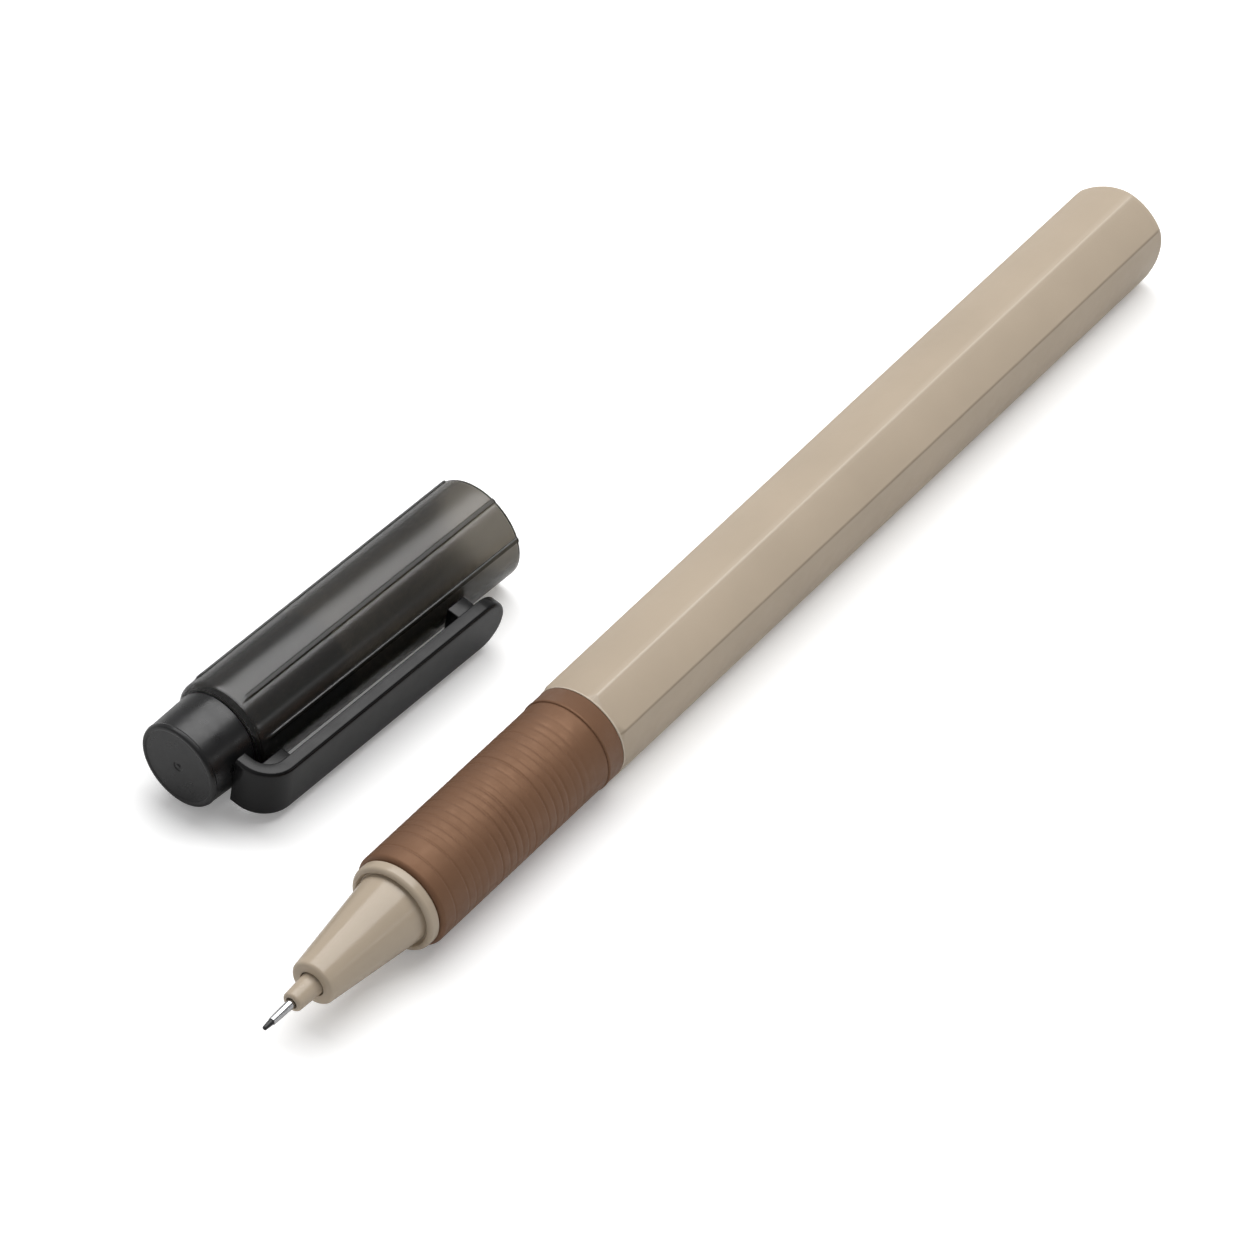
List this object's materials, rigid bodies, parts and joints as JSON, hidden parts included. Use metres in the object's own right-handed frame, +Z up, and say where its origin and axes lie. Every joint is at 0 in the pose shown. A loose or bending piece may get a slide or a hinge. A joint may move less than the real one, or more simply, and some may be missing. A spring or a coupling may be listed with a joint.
{
  "type": "technical drawing pen",
  "caption": "Fineliner drawing pen with faceted barrel, ribbed rubber grip and conical nose, its clear ribbed cap with clip lying beside it.",
  "frame": {"origin": "on the pen's axis where the nose collar leaves the grip, which is where the cap's mouth seats", "axes": "+X along the pen towards the nib, +Z up from the surface it lies on; the cap lies beside the pen on the -Y side"},
  "size_m": [0.1386, 0.0379, 0.011],
  "materials": {
    "barrel_plastic": "satin",
    "nose_plastic": "gloss",
    "grip_rubber": "matte",
    "holder_plastic": "gloss",
    "nib_steel": "polished",
    "nib_black": "satin",
    "wick_fibre": "matte",
    "guide_plastic": "satin",
    "reservoir_fibre": "matte",
    "wrap_film": "gloss",
    "cap_clear": "translucent satin",
    "plug_black": "satin",
    "clip_black": "satin",
    "sleeve_dark": "satin"
  },
  "bodies": {
    "pen": {"barrel_shell": "barrel_plastic", "grip_sleeve": "grip_rubber", "nose_section": "nose_plastic", "nib_holder": "holder_plastic", "nib_tube": "nib_steel", "nib_core": "nib_black", "feed_wick": "wick_fibre", "wick_guide": "guide_plastic", "ink_reservoir": "reservoir_fibre", "reservoir_wrap": "wrap_film"},
    "cap": {"cap_tube": "cap_clear", "cap_plug": "plug_black", "cap_inner_sleeve": "sleeve_dark"},
    "clip": {"cap_clip": "clip_black"}
  },
  "joints": [
    {"name": "cap_slide", "type": "slide", "parent": "pen", "child": "cap", "axis": [0.9982, -0.0597, 0], "range_m": [0, 0.045]},
    {"name": "clip_flex", "type": "hinge", "parent": "cap", "child": "clip", "pos_m": [-0.00438, -0.02255, -0.00081], "axis": [-0.0096, -0.1613, -0.9869], "range_deg": [0, 5], "stiffness_Nm_per_rad": 0.3}
  ]
}
